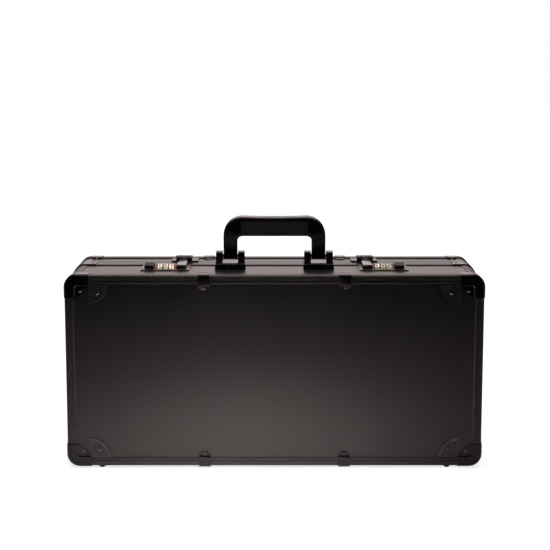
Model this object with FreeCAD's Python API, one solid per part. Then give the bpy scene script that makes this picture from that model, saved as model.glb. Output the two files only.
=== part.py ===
import FreeCAD, Part
import math
import os

# Attache case: deep base shell and shallow lid shell on a full-length pin hinge.
# Frame: origin at the bottom centre of the closed, upright case; X along the width,
# -Y is the face of the base shell, +Y is the face of the lid, +Z up.
V = FreeCAD.Vector

# ---------------------------------------------------------------- driving dimensions (mm)
W = 540.0            # width over the edge trim
H = 254.0            # height over the edge trim
D = 120.0            # depth over both faces
FOOT_H = 2.8         # foot height
FOOT_R = 5.0
RC = 16.0            # radius of the four upright corners of the outline
Y_PART = 19.0        # parting plane between base and lid
PART_GAP = 0.15      # each side of the parting plane
TRIM = 12.0          # width of the edge trim on face and wall
SKIN = 4.3           # frame section thickness
REC = 1.3            # panels sit this far below the frame
PT = 3.0             # panel thickness
V_BASE = 16.0        # width of the base rim rail
V_LID = 9.0          # width of the lid rim rail
TRIM_ROUND = 3.4     # rounding of the outer face edge
POST = 18.7          # leg of a corner post
POST_REC = 0.5       # corner post below the frame
CAP_T = 0.9          # corner cap sheet
CAP_X = 31.2         # cap leg along the width
CAP_Z = 29.5         # cap leg along the height
CAP_IN = 12.4        # inner step of the cap from the outer edge
CAP_FLAP = 15.8      # radius of the cap flap
FAN_R = 25.0         # fan plate radius
FAN_X = 238.6        # fan corner from the centre plane
CLIP_X = 90.8        # frame clip centre
CLIP_W = 15.0
CLIP_T = 1.0
BRK_X = 240.0        # inner end of a rim corner bracket
BRK_Z = 30.0
HINGE_HALF = 236.0   # half length of the hinge
HINGE_Z = 1.8        # hinge axis height
HINGE_R = 1.5
HPIN_R = 0.8
KNUCKLES = 24
FOOT_X = 225.5
FOOT_Y = 54.0

HB_X = 58.4          # handle bracket centre
HB_Y = -11.0         # handle pivot, depth position
HB_H = 15.5          # handle pivot above the top of the frame
H_OUT = 67.4         # handle half width outside
H_IN = 49.1          # handle half width inside
H_TOP = 68.5         # handle top above the top of the frame
H_UND = 42.6         # underside of the grip
HPIVOT_R = 2.0

LP = (112.0, 176.0, -29.5, 2.0)      # lock plate x0, x1, y0, y1
DIAL_X = (136.1, 143.75, 151.4)      # dial centres
DIAL_W = 5.6
DIAL_R = 9.5
DIAL_Y = -12.0
DIAL_DROP = 4.95     # dial axis below the top of the frame
SPINDLE_R = 1.5
COV_R = 8.9          # dial cover radius
SLD = (158.9, 171.3, -22.5, -10.0)   # slider block
SLD_TRAVEL = 4.0
TNG = (117.0, 129.0)                 # hasp tongue x0, x1
TNG_Y = 22.5         # hasp pivot, depth position
TNG_H = 4.3          # hasp pivot above the top of the frame
HASP_PIN_R = 1.5

STAY_L = 60.0        # length of each stay link
STAY_B = 20.0        # angle of the base pivot from upright, degrees
STAY_G = 12.0        # angle of the lid pivot from upright, degrees

Z0 = FOOT_H
Z1 = FOOT_H + H
ZM = 0.5 * (Z0 + Z1)
YF = -D / 2
YR = D / 2
XW = W / 2
YT = YF + TRIM                       # inner edge of the face trim, on the wall
YV = Y_PART - V_BASE                 # inner edge of the base rim rail
DIAL_Z = Z1 - DIAL_DROP

os.makedirs("parts", exist_ok=True)
made = []


def save(name, shapes):
    if not isinstance(shapes, (list, tuple)):
        shapes = [shapes]
    solids = []
    for s in shapes:
        solids += s.Solids
    for s in solids:
        if s.Volume <= 0 or not s.isValid():
            raise RuntimeError("bad solid in " + name)
    out = solids[0] if len(solids) == 1 else Part.makeCompound(solids)
    out.exportStep("parts/%s.step" % name)
    made.append((name, len(solids), sum(s.Volume for s in solids)))


def bx(x0, x1, y0, y1, z0, z1):
    return Part.makeBox(x1 - x0, y1 - y0, z1 - z0, V(x0, y0, z0))


def cylx(r, x0, x1, y, z):
    return Part.makeCylinder(r, x1 - x0, V(x0, y, z), V(1, 0, 0))


def prism(off, y0, y1, rnd=0.0):
    """Rounded-rectangle block inset by off; rnd rounds its outline at y0."""
    hw = XW - off
    b = bx(-hw, hw, y0, y1, Z0 + off, Z1 - off)
    r = max(RC - off, 0.8)
    along = [e for e in b.Edges if e.BoundBox.YLength > (y1 - y0) - 1e-3]
    b = b.makeFillet(r, along)
    if rnd > 0:
        rim = [e for e in b.Edges if e.BoundBox.YMax < y0 + 1e-4]
        b = b.makeFillet(rnd, rim)
    return b


def mx(s):
    return s.mirror(V(0, 0, 0), V(1, 0, 0))


def my(s):
    return s.mirror(V(0, 0, 0), V(0, 1, 0))


def mz(s):
    return s.mirror(V(0, 0, ZM), V(0, 0, 1))


def four(s):
    """A piece at the +X, upper corner repeated at all four corners."""
    return [s, mx(s), mz(s), mx(mz(s))]


def pair(s):
    return [s, mx(s)]


def poly_x(pts, x0, x1):
    """Extrude a polygon of (y, z) points from x0 to x1."""
    w = Part.makePolygon([V(x0, p[0], p[1]) for p in pts] + [V(x0, pts[0][0], pts[0][1])])
    return Part.Face(w).extrude(V(x1 - x0, 0, 0))


def poly_y(pts, y0, y1):
    """Extrude a polygon of (x, z) points from y0 to y1."""
    w = Part.makePolygon([V(p[0], y0, p[1]) for p in pts] + [V(pts[0][0], y0, pts[0][1])])
    return Part.Face(w).extrude(V(0, y1 - y0, 0))


def dome(p, axis, r=2.3, h=0.9):
    """Rivet or screw head: a spherical cap standing on point p along axis."""
    rs = (r * r + h * h) / (2 * h)
    lat = math.degrees(math.asin((rs - h) / rs))
    a = V(*axis)
    c = V(*p) - a * (rs - h)
    return Part.makeSphere(rs, c, a, lat, 90, 360)


def shank(p, axis, r, length):
    """Rivet shank from p going against axis."""
    a = V(*axis)
    return Part.makeCylinder(r, length, V(*p) - a * length, a)


def mitres(y0, y1):
    """Four thin slabs on the corner diagonals: the saw cuts between frame lengths."""
    out = []
    s = Part.makeBox(60, y1 - y0, 0.2, V(-45, y0, -0.1))
    s.rotate(V(0, 0, 0), V(0, 1, 0), -45)
    s.translate(V(XW, 0, Z1))
    for q in four(s):
        out.append(q)
    return Part.makeCompound(out)


# ---------------------------------------------------------------- frame lengths
def edge_trim():
    t = prism(0, YF, YT, TRIM_ROUND)
    t = t.cut(prism(SKIN, YF + SKIN, YT + 5))
    t = t.cut(prism(TRIM, YF - 2, YF + SKIN + 2))
    # bead groove along the face leg
    t = t.cut(prism(7.2, YF - 1, YF + 0.7).cut(prism(8.7, YF - 2, YF + 2)))
    # bevelled lip beside the panel
    bev = prism(TRIM - 1.0, YF - 1.0, YF + 1.0)
    bev = bev.makeChamfer(0.99, [e for e in bev.Edges if e.BoundBox.YMin > YF + 1.0 - 1e-4])
    t = t.cut(bev)
    return t.cut(mitres(YF - 5, YT + 5)).Solids


base_trim = edge_trim()
save("base_edge_trim", base_trim)
save("lid_edge_trim", [my(s) for s in base_trim])

notch = bx(-HINGE_HALF - 0.5, HINGE_HALF + 0.5, Y_PART - 2.0, Y_PART + 2.0, Z0 - 1, Z0 + 0.9)
rail = prism(0, YV, Y_PART - PART_GAP).cut(prism(SKIN, YV - 2, Y_PART + 2))
rail = rail.cut(notch).cut(mitres(YV - 5, Y_PART + 5))
save("base_rim_rail", rail.Solids)

lrail = prism(0, Y_PART + PART_GAP, Y_PART + V_LID).cut(prism(SKIN, YV - 2, Y_PART + V_LID + 5))
lrail = lrail.cut(notch)
# inner lip that enters the base on three sides and is left off beside the hinge
lip = prism(SKIN + 0.35, Y_PART - 3.0, Y_PART + V_LID).cut(prism(SKIN + 1.85, Y_PART - 5, Y_PART + V_LID + 2))
lip = lip.common(bx(-XW, XW, Y_PART - 4, Y_PART + V_LID + 1, Z0 + 22, Z1))
web = prism(SKIN - 0.02, Y_PART + 1.5, Y_PART + V_LID).cut(prism(SKIN + 0.5, Y_PART, Y_PART + V_LID + 2))
web = web.common(bx(-XW, XW, Y_PART - 4, Y_PART + V_LID + 1, Z0 + 22, Z1))
lrail = lrail.fuse([lip, web]).cut(mitres(YV - 5, Y_PART + V_LID + 5))
save("lid_rim_rail", lrail.Solids)


def posts(y0, y1):
    p = prism(POST_REC, y0, y1).cut(prism(SKIN, y0 - 1, y1 + 1))
    p = p.common(bx(XW - POST, XW + 5, y0 - 1, y1 + 1, Z1 - POST, Z1 + 5))
    return four(p)


save("base_corner_posts", posts(YT, YV))
save("lid_corner_posts", posts(Y_PART + V_LID, YR - TRIM))

# ---------------------------------------------------------------- panels
face = prism(TRIM, YF + REC, YF + SKIN)
save("base_face_panel", face)
save("lid_face_panel", my(face))

HOUS = (114.0, 174.4, -26.0, 0.0, 239.5)      # lock housing x0, x1, y0, y1, bottom
top = bx(-XW + POST, XW - POST, YT, YV, Z1 - SKIN, Z1 - REC)
for s in pair(bx(HOUS[0] - 0.2, HOUS[1] + 0.2, HOUS[2] - 0.2, HOUS[3] + 0.2, Z1 - 9, Z1 + 3)):
    top = top.cut(s)
save("base_top_panel", top)
save("base_bottom_panel", bx(-XW + POST, XW - POST, YT, YV, Z0 + REC, Z0 + SKIN))
side = bx(XW - SKIN, XW - REC, YT, YV, Z0 + POST, Z1 - POST)
save("base_side_panels", pair(side))
ly0, ly1 = Y_PART + V_LID, YR - TRIM
save("lid_top_panel", bx(-XW + POST, XW - POST, ly0, ly1, Z1 - SKIN, Z1 - REC))
save("lid_bottom_panel", bx(-XW + POST, XW - POST, ly0, ly1, Z0 + REC, Z0 + SKIN))
save("lid_side_panels", pair(bx(XW - SKIN, XW - REC, ly0, ly1, Z0 + POST, Z1 - POST)))

# ---------------------------------------------------------------- corner caps
CX, CZ = XW - CAP_IN, Z1 - CAP_IN


def pocket(y_out, y_in, run=1.5, r=4.0):
    """Tapered tool, open towards the middle of the face, that leaves the cap's pressed slope."""
    def ring(y, inset, rad):
        x1, z1 = CX - 0.35 - inset, CZ - 0.35 - inset
        x0, z0 = CX - 60, CZ - 60
        k = rad * (1 - math.sqrt(0.5))
        e = [Part.makeLine(V(x0, y, z0), V(x0, y, z1)), Part.makeLine(V(x0, y, z1), V(x1 - rad, y, z1)),
             Part.Arc(V(x1 - rad, y, z1), V(x1 - k, y, z1 - k), V(x1, y, z1 - rad)).toShape(),
             Part.makeLine(V(x1, y, z1 - rad), V(x1, y, z0)), Part.makeLine(V(x1, y, z0), V(x0, y, z0))]
        return Part.Wire(e)
    slope = run / (y_in - y_out)
    ext = 0.2
    a = ring(y_out - ext, -ext * slope, r + ext * slope)
    b = ring(y_in, run, r - run)
    return Part.makeLoft([a, b], True, True)


def corner_cap():
    outer = prism(-CAP_T, YF - CAP_T, YT + 0.3, TRIM_ROUND + CAP_T)
    shell = outer.cut(prism(-0.04, YF - 0.04, YT + 3, TRIM_ROUND + 0.04))
    legs = bx(XW - CAP_X, XW + 5, YF - 5, YT + 5, Z1 - CAP_Z, Z1 + 5)
    legs = legs.cut(bx(XW - CAP_X - 5, CX, YF - 5, YF + 0.001, Z1 - CAP_Z - 5, CZ))
    cap = shell.common(legs)
    # pressed slope from the leg down to the flap, rounded in the corner
    yo, yi = YF - CAP_T, YF + REC
    band = bx(XW - CAP_X, CX, yo, yi, CZ - 4.2, CZ).fuse(bx(CX - 4.2, CX, yo, yi, Z1 - CAP_Z, CZ))
    band = band.cut(pocket(yo, yi - CAP_T))
    # rounded flap on the face panel
    flap = Part.makeCylinder(CAP_FLAP, CAP_T, V(CX, yi - CAP_T, CZ), V(0, 1, 0))
    flap = flap.common(bx(CX - 40, CX, yi - 5, yi + 5, CZ - 40, CZ))
    # flaps on the wall panels
    tx, tz = XW - 24.0, Z1 - 24.0
    ftop = Part.makeCylinder(5.0, CAP_T, V(tx, YT + 0.3, Z1 - REC), V(0, 0, 1))
    ftop = ftop.common(bx(tx - 6, tx + 6, YT + 0.3, YT + 9, Z1 - 5, Z1 + 5))
    s1 = bx(tx - 5, tx + 5, YT, YT + 1.0, Z1 - REC, Z1 + CAP_T)
    fside = Part.makeCylinder(5.0, CAP_T, V(XW - REC, YT + 0.3, tz), V(1, 0, 0))
    fside = fside.common(bx(XW - 5, XW + 5, YT + 0.3, YT + 9, tz - 6, tz + 6))
    s2 = bx(XW - REC, XW + CAP_T, YT, YT + 1.0, tz - 5, tz + 5)
    return cap.fuse([band, flap, ftop, s1, fside, s2]).removeSplitter()


cap = corner_cap()
caps = four(cap)
save("base_corner_caps", caps)
save("lid_corner_caps", [my(s) for s in caps])


def rim_bracket(y0, y1):
    b = prism(-CAP_T, y0, y1).cut(prism(-0.04, y0 - 1, y1 + 1))
    b = b.common(bx(BRK_X, XW + 5, y0 - 1, y1 + 1, Z1 - BRK_Z, Z1 + 5))
    return four(b)


save("base_corner_brackets", rim_bracket(YV, Y_PART - 0.3))
save("lid_corner_brackets", rim_bracket(Y_PART + 0.3, Y_PART + V_LID))


# ---------------------------------------------------------------- fan plates on the faces
def fan():
    pts = [(0.6, 0.0), (0.6, 0.7)]
    r = 3.2
    while r < 21.6:
        pts += [(r, 0.7), (r + 0.5, 1.3), (r + 1.0, 0.7)]
        r += 1.75
    pts += [(22.9, 0.75), (23.4, 1.55), (24.6, 1.55), (FAN_R, 1.0), (FAN_R, 0.0)]
    cx, cz, yp = FAN_X, Z1 - TRIM - 0.2, YF + REC
    w = Part.makePolygon([V(cx - p[0], yp - p[1], cz) for p in pts + [pts[0]]])
    f = Part.Face(w).revolve(V(cx, yp, cz), V(0, 1, 0), -90)
    if f.BoundBox.ZMax > cz + 1:
        f = Part.Face(w).revolve(V(cx, yp, cz), V(0, 1, 0), 90)
    e1 = bx(cx - FAN_R + 0.3, cx, yp - 1.45, yp, cz - 1.1, cz)
    e2 = bx(cx - 1.1, cx, yp - 1.45, yp, cz - FAN_R + 0.3, cz)
    rx, rz = cx - 11.0, cz - 11.0
    seat = Part.makeCylinder(3.6, 0.95, V(rx, yp - 0.95, rz), V(0, 1, 0))
    ring = Part.makeCylinder(3.6, 3, V(rx, yp - 3.95, rz), V(0, 1, 0))
    return f.cut(ring).fuse([e1, e2, seat])


fans = four(fan())
save("base_fan_plates", fans)
save("lid_fan_plates", [my(s) for s in fans])


# ---------------------------------------------------------------- frame clips
def clip():
    t = CLIP_T
    zo, yo = Z1 + t, YF - t
    x0, x1 = CLIP_X - CLIP_W / 2, CLIP_X + CLIP_W / 2
    zs, ys = Z1 - TRIM - 0.2, YT + 0.2
    p = [(yo, zs + 0.3), (yo, zo), (ys, zo), (ys + 1.3, Z1 - REC + t), (ys + 1.3, Z1 - REC), (ys, Z1 - REC), (ys, Z1),
         (YF, Z1), (YF, zs), (YF + REC, zs), (YF + REC, zs - 2.1), (YF + REC - t, zs - 2.1)]
    c = poly_x(p, x0, x1)
    rim = [e for e in c.Edges if abs(e.CenterOfMass.y - yo) < 1e-3 and abs(e.CenterOfMass.z - zo) < 1e-3
           and e.BoundBox.XLength > 10]
    c = c.makeFillet(3.0, rim)
    c = c.cut(bx(x0 - 1, x1 + 1, YF, YF + 3.4, Z1 - 3.4, Z1).common(
        bx(x0 - 1, x1 + 1, YF, YF + 3.4, Z1 - 3.4, Z1)))
    r = CLIP_W / 2
    tab = Part.makeCylinder(r, t, V(CLIP_X, YF + REC - t, zs - 1.0), V(0, 1, 0))
    tab = tab.common(bx(x0, x1, YF - 5, YF + 5, zs - 20, zs - 1.0))
    tab2 = Part.makeCylinder(r, t, V(CLIP_X, ys + 1.0, Z1 - REC), V(0, 0, 1))
    tab2 = tab2.common(bx(x0, x1, ys + 1.0, ys + 20, Z1 - 5, Z1 + 5))
    return c.fuse([tab, tab2])


clips = four(clip())
save("base_frame_clips", clips)
save("lid_frame_clips", [my(s) for s in clips])


# ---------------------------------------------------------------- rivets
def shell_rivets():
    out = []
    yp = YF + REC - CAP_T                  # flap surface on the face
    # cap flap on the face, wall flaps
    out.append(dome((XW - 20.6, yp, Z1 - 20.4), (0, -1, 0), 2.6, 1.0))
    out.append(dome((XW - 24.0, YT + 3.3, Z1 - REC + CAP_T), (0, 0, 1), 1.9, 0.8))
    out.append(dome((XW - REC + CAP_T, YT + 3.3, Z1 - 24.0), (1, 0, 0), 1.9, 0.8))
    # fan plate rivet
    out.append(dome((FAN_X - 11.0, YF + REC - 0.95, Z1 - TRIM - 0.2 - 11.0), (0, -1, 0), 3.0, 1.25))
    # clip rivets
    out.append(dome((CLIP_X, YF + REC - CLIP_T, Z1 - 16.4), (0, -1, 0), 2.1, 0.9))
    out.append(dome((CLIP_X, YT + 4.4, Z1 - REC + CLIP_T), (0, 0, 1), 2.1, 0.9))
    res = []
    for s in out:
        res += four(s)
    return res


def rim_rivets(y):
    out = []
    for s in (dome((245.2, y, Z1 + CAP_T), (0, 0, 1), 2.0, 0.8),
              dome((XW + CAP_T, y, Z1 - 25.0), (1, 0, 0), 2.0, 0.8)):
        out += four(s)
    # the lower corner brackets keep their bottom rivets flush with the hinge height
    return out


def hinge_rivets(y):
    return [dome((x, y, HINGE_Z), (0, 0, -1), 1.8, 0.7) for x in range(-216, 217, 48)]


bp = math.radians(STAY_B)
gp = math.radians(STAY_G)
SB = (Y_PART - STAY_L * math.sin(bp), HINGE_Z + STAY_L * math.cos(bp))
SC = (Y_PART + STAY_L * math.sin(gp), HINGE_Z + STAY_L * math.cos(gp))
SE = (SB[0] + SC[0] - Y_PART, SB[1] + SC[1] - HINGE_Z)
LB = (261.5, 263.0)          # base link plane
LC = (259.7, 261.2)          # lid link plane
XI = XW - SKIN               # inner face of the side panel


def stud(yz, x_in):
    """Pivot stud on the side panel that carries a stay link."""
    c = cylx(3.4, LB[1] + 0.2 if x_in > 261 else LC[1] + 0.2, XI, yz[0], yz[1])
    return c.fuse(cylx(1.9, x_in, XI - 0.5, yz[0], yz[1]))


base_riv = shell_rivets() + rim_rivets(YV + 8.0) + hinge_rivets(10.5) + pair(stud(SB, LB[0]))
lid_riv = [my(s) for s in shell_rivets()] + rim_rivets(Y_PART + 4.6) + hinge_rivets(24.6) + pair(stud(SC, LC[0]))
save("base_rivets", base_riv)
save("lid_rivets", lid_riv)

# ---------------------------------------------------------------- feet
foot = dome((FOOT_X, -FOOT_Y, Z0), (0, 0, -1), FOOT_R, FOOT_H + 0.6)
foot = foot.cut(bx(FOOT_X - 8, FOOT_X + 8, -FOOT_Y - 8, -FOOT_Y + 8, -3, 0.0))
save("base_feet", pair(foot))
save("lid_feet", [my(s) for s in pair(foot)])

# ---------------------------------------------------------------- hinge
pitch = 2 * HINGE_HALF / KNUCKLES


def leaf(first, y_in, y_out):
    lo, hi = min(y_in, y_out), max(y_in, y_out)
    s = bx(-HINGE_HALF, HINGE_HALF, lo, hi, HINGE_Z, Z0)
    parts = []
    for k in range(first, KNUCKLES, 2):
        a = -HINGE_HALF + k * pitch + 0.15
        b = a + pitch - 0.3
        parts.append(cylx(HINGE_R, a, b, Y_PART, HINGE_Z))
        parts.append(bx(a, b, min(y_in, Y_PART), max(y_in, Y_PART), HINGE_Z, Z0))
    s = s.fuse(parts)
    return s.cut(cylx(HPIN_R + 0.05, -XW, XW, Y_PART, HINGE_Z))


save("base_hinge_leaf", leaf(0, 16.9, 6.0))
save("lid_hinge_leaf", leaf(1, 21.1, 27.8))
save("hinge_pin", cylx(HPIN_R, -HINGE_HALF, HINGE_HALF, Y_PART, HINGE_Z))


# ---------------------------------------------------------------- stay links
def link(a, b, x0, x1, r=5.0, hole_a=1.97, hole_b=0.0, pin_b=None):
    dy, dz = b[0] - a[0], b[1] - a[1]
    ln = math.hypot(dy, dz)
    ny, nz = -dz / ln * (r - 0.6), dy / ln * (r - 0.6)
    body = poly_x([(a[0] + ny, a[1] + nz), (b[0] + ny, b[1] + nz), (b[0] - ny, b[1] - nz), (a[0] - ny, a[1] - nz)], x0, x1)
    body = body.fuse([cylx(r, x0, x1, a[0], a[1]), cylx(r, x0, x1, b[0], b[1])])
    if hole_a:
        body = body.cut(cylx(hole_a, x0 - 5, x1 + 5, a[0], a[1]))
    if hole_b:
        body = body.cut(cylx(hole_b, x0 - 5, x1 + 5, b[0], b[1]))
    if pin_b:
        body = body.fuse(cylx(pin_b[0], pin_b[1], x0 + 0.5, b[0], b[1]))
    return body


save("base_stay_links", pair(link(SB, SE, LB[0], LB[1], pin_b=(1.9, LC[0] - 0.6))))
save("lid_stay_links", pair(link(SC, SE, LC[0], LC[1], hole_b=2.0)))

# ---------------------------------------------------------------- linings
lin = prism(TRIM + 3.0, YF + SKIN + 0.1, YF + SKIN + 4.1)
save("base_lining", lin)
foam = prism(TRIM + 4.0, 40.0, YR - SKIN - 0.1)
save("lid_foam", foam)


# ---------------------------------------------------------------- handle
def bracket():
    xa, xb = HB_X - 20.2, HB_X + 20.2
    zb, zf, zt = Z1 - REC, Z1 + 7.3, Z1 + HB_H
    y0, y1 = HB_Y - 11.0, HB_Y + 11.0
    floor = poly_x([(y0, zb), (y1, zb), (y1, Z1 + 5.6), (y1 - 1.7, zf), (y0 + 1.7, zf), (y0, Z1 + 5.6)], xa, xb)
    top_e = [e for e in floor.Edges if e.BoundBox.XLength < 1e-3 and abs(e.CenterOfMass.z - zf) < 1.2]
    floor = floor.makeChamfer(0.8, top_e)
    for sx in (-1, 1):
        xw, xn = HB_X + sx * 20.2, HB_X + sx * 19.0
        w = Part.makePolygon([V(xw, y0 - 1, Z1 + 1.0), V(xn, y0 - 1, zf + 0.1), V(xw + sx, y0 - 1, zf + 0.1),
                              V(xw + sx, y0 - 1, Z1 + 1.0), V(xw, y0 - 1, Z1 + 1.0)])
        floor = floor.cut(Part.Face(w).extrude(V(0, y1 - y0 + 2, 0)))
    ears = []
    for a, b in ((xa + 1.3, HB_X - 10.2), (HB_X + 10.2, xb - 1.3)):
        r = 6.1
        e = poly_x([(y0, zb), (y1, zb), (y1, Z1 + 5.0), (HB_Y + r, zt - 2.0), (HB_Y + r, zt + r - 1.1),
                    (HB_Y + r - 1.1, zt + r), (HB_Y - r + 1.1, zt + r), (HB_Y - r, zt + r - 1.1), (HB_Y - r, zt - 2.0),
                    (y0, Z1 + 5.0)], a, b)
        ears.append(e)
    s = floor.fuse(ears)
    return s.cut(cylx(HPIVOT_R, xa - 5, xb + 5, HB_Y, zt))


brk = bracket()
save("handle_brackets", pair(brk))
pin = cylx(HPIVOT_R, HB_X - 18.9, HB_X + 18.9, HB_Y, Z1 + HB_H)
save("handle_pins", pair(pin))
plate = bx(HB_X - 22, HB_X + 22, HB_Y - 12, HB_Y + 12, Z1 - SKIN - 1.5, Z1 - SKIN)
scr = []
for dx in (-15, 15):
    for dy in (-7, 7):
        scr.append(dome((HB_X + dx, HB_Y + dy, Z1 - SKIN - 1.5), (0, 0, -1), 3.0, 1.6))
save("handle_backing_plates", pair(plate))


def handle():
    def arc(cx, cz, r, a0, a1, n=None):
        p = [V(cx + r * math.cos(math.radians(a)), 0, cz + r * math.sin(math.radians(a)))
             for a in (a0, 0.5 * (a0 + a1), a1)]
        return Part.Arc(p[0], p[1], p[2]).toShape()

    zb, zt, zu = Z1 + HB_H, Z1 + H_TOP, Z1 + H_UND
    ro, ri = 25.0, 7.0
    P = lambda x, z: V(x, 0, z)
    e = [Part.makeLine(P(H_OUT, zb), P(H_OUT, zt - ro)),
         arc(H_OUT - ro, zt - ro, ro, 0, 90),
         Part.makeLine(P(H_OUT - ro, zt), P(-H_OUT + ro, zt)),
         arc(-H_OUT + ro, zt - ro, ro, 90, 180),
         Part.makeLine(P(-H_OUT, zt - ro), P(-H_OUT, zb)),
         Part.makeLine(P(-H_OUT, zb), P(-H_IN, zb)),
         Part.makeLine(P(-H_IN, zb), P(-H_IN, zu - ri)),
         arc(-H_IN + ri, zu - ri, ri, 180, 90),
         Part.makeLine(P(-H_IN + ri, zu), P(H_IN - ri, zu)),
         arc(H_IN - ri, zu - ri, ri, 90, 0),
         Part.makeLine(P(H_IN, zu - ri), P(H_IN, zb)),
         Part.makeLine(P(H_IN, zb), P(H_OUT, zb))]
    f = Part.Face(Part.Wire(e))
    loop = f.extrude(V(0, 30, 0))
    loop.translate(V(0, HB_Y - 15, 0))
    sec = poly_x([(HB_Y - 5, zb - 1), (HB_Y - 5, zb + 4), (HB_Y - 5.6, zb + 12), (HB_Y - 8.0, zb + 21), (HB_Y - 10, zb + 30),
                  (HB_Y - 10, zt - 6), (HB_Y - 8.2, zt - 1.8), (HB_Y - 4, zt + 0.01), (HB_Y + 4, zt + 0.01),
                  (HB_Y + 8.2, zt - 1.8), (HB_Y + 10, zt - 6), (HB_Y + 10, zb + 30), (HB_Y + 8.0, zb + 21),
                  (HB_Y + 5.6, zb + 12), (HB_Y + 5, zb + 4), (HB_Y + 5, zb - 1)], -80, 80)
    h = loop.common(sec)
    for s in (1, -1):
        a, b = sorted((s * H_IN, s * H_OUT))
        h = h.fuse(cylx(5.0, a, b, HB_Y, zb))
    h = h.cut(cylx(HPIVOT_R + 0.06, -80, 80, HB_Y, zb))
    for yy in (HB_Y - 10.0, HB_Y + 9.0):
        h = h.cut(bx(-43.5, 43.5, yy, yy + 1.0, Z1 + 47.5, Z1 + 62.5))
    return h


save("handle_loop", handle())
gpn = bx(-43.2, 43.2, HB_Y - 10.2, HB_Y - 9.0, Z1 + 47.8, Z1 + 62.2)
gpb = bx(-43.2, 43.2, HB_Y + 9.0, HB_Y + 10.2, Z1 + 47.8, Z1 + 62.2)
save("handle_grip_panels", [gpn, gpb])

# ---------------------------------------------------------------- locks (right side, mirrored to the left)
lp = bx(LP[0], LP[1], LP[2], LP[3], Z1 - REC, Z1)
up = [e for e in lp.Edges if abs(e.BoundBox.ZMin - Z1) < 1e-3]
lp = lp.makeChamfer(0.25, up)
COV = (130.0, 158.3, DIAL_Y - 10.6, DIAL_Y + 10.6)
lp = lp.cut(bx(COV[0], COV[1], COV[2], COV[3], Z1 - 5, Z1 + 5))
lp = lp.cut(bx(160.6, 172.9, -19.0, -12.0, Z1 - 5, Z1 + 5))
save("lock_plates", pair(lp))

hs = bx(HOUS[0], HOUS[1], HOUS[2], HOUS[3], HOUS[4], Z1 - REC)
hs = hs.cut(bx(HOUS[0] + 1.2, HOUS[1] - 1.2, HOUS[2] + 1.2, HOUS[3] - 1.2, HOUS[4] + 1.2, Z1 + 5))
save("lock_housings", pair(hs))


def cover():
    x0, x1, y0, y1 = COV
    s = cylx(COV_R, x0, x1, DIAL_Y, DIAL_Z).common(bx(x0 - 1, x1 + 1, -40, 20, Z1 - REC, Z1 + 20))
    s = s.cut(cylx(COV_R - 1.0, x0 + 1.2, x1 - 1.2, DIAL_Y, DIAL_Z))
    frame_ = bx(x0, x1, y0, y1, Z1 - REC, Z1).cut(bx(x0 + 1.2, x1 - 1.2, DIAL_Y - 9.2, DIAL_Y + 9.2, Z1 - 5, Z1 + 5))
    ribs = []
    gaps = [(x0, DIAL_X[0] - DIAL_W / 2 - 0.3)]
    for a, b in zip(DIAL_X[:-1], DIAL_X[1:]):
        gaps.append((a + DIAL_W / 2 + 0.3, b - DIAL_W / 2 - 0.3))
    gaps.append((DIAL_X[2] + DIAL_W / 2 + 0.3, x1))
    for a, b in gaps:
        ribs.append(cylx(COV_R, a, b, DIAL_Y, DIAL_Z).common(bx(a, b, -40, 20, Z1 - REC, Z1 + 20)).cut(
            cylx(COV_R - 1.0 if b - a < 2.5 else 5.0, a - 1, b + 1, DIAL_Y, DIAL_Z)))
        ribs.append(bx(a, b, DIAL_Y - 9.3, DIAL_Y - 7.2, Z1 - REC, Z1))
        ribs.append(bx(a, b, DIAL_Y + 7.2, DIAL_Y + 9.3, Z1 - REC, Z1))
    s = s.fuse([frame_] + ribs)
    for x in DIAL_X:
        s = s.cut(cylx(DIAL_R + 0.3, x - DIAL_W / 2 - 0.3, x + DIAL_W / 2 + 0.3, DIAL_Y, DIAL_Z))
    for a, b in ((x0, x0 + 1.3), (x1 - 1.4, x1)):
        s = s.fuse(bx(a, b, DIAL_Y - 3, DIAL_Y + 3, DIAL_Z - 3, Z1 + 1.0))
    return s.cut(cylx(SPINDLE_R, x0 - 5, x1 + 5, DIAL_Y, DIAL_Z))


cv = cover()
save("dial_covers", pair(cv))
save("dial_spindles", pair(cylx(SPINDLE_R, COV[0] + 0.1, COV[1] - 0.1, DIAL_Y, DIAL_Z)))


def dial(xc):
    """Ten lands for the digits 0 to 9 with a shallow groove between each pair."""
    pts = []
    for k in range(10):
        for da, rr in ((-14, DIAL_R - 0.15), (-12, DIAL_R), (-6, DIAL_R), (0, DIAL_R), (6, DIAL_R), (12, DIAL_R), (14, DIAL_R - 0.15),
                       (18, DIAL_R - 0.75)):
            a = math.radians(36 * k + da)
            pts.append((DIAL_Y + rr * math.sin(a), DIAL_Z + rr * math.cos(a)))
    d = poly_x(pts, xc - DIAL_W / 2, xc + DIAL_W / 2)
    return d.cut(cylx(SPINDLE_R + 0.06, xc - 5, xc + 5, DIAL_Y, DIAL_Z))


for k, x in enumerate(DIAL_X):
    d = dial(x)
    save("right_dial_%d" % (k + 1), d)
    save("left_dial_%d" % (k + 1), mx(d))

ang = math.radians(30)
ip = (131.55, DIAL_Y - COV_R * math.sin(ang), DIAL_Z + COV_R * math.cos(ang))
ind = dome(ip, (0, -math.sin(ang), math.cos(ang)), 1.4, 0.6)
save("lock_indicators", pair(ind))

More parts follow.
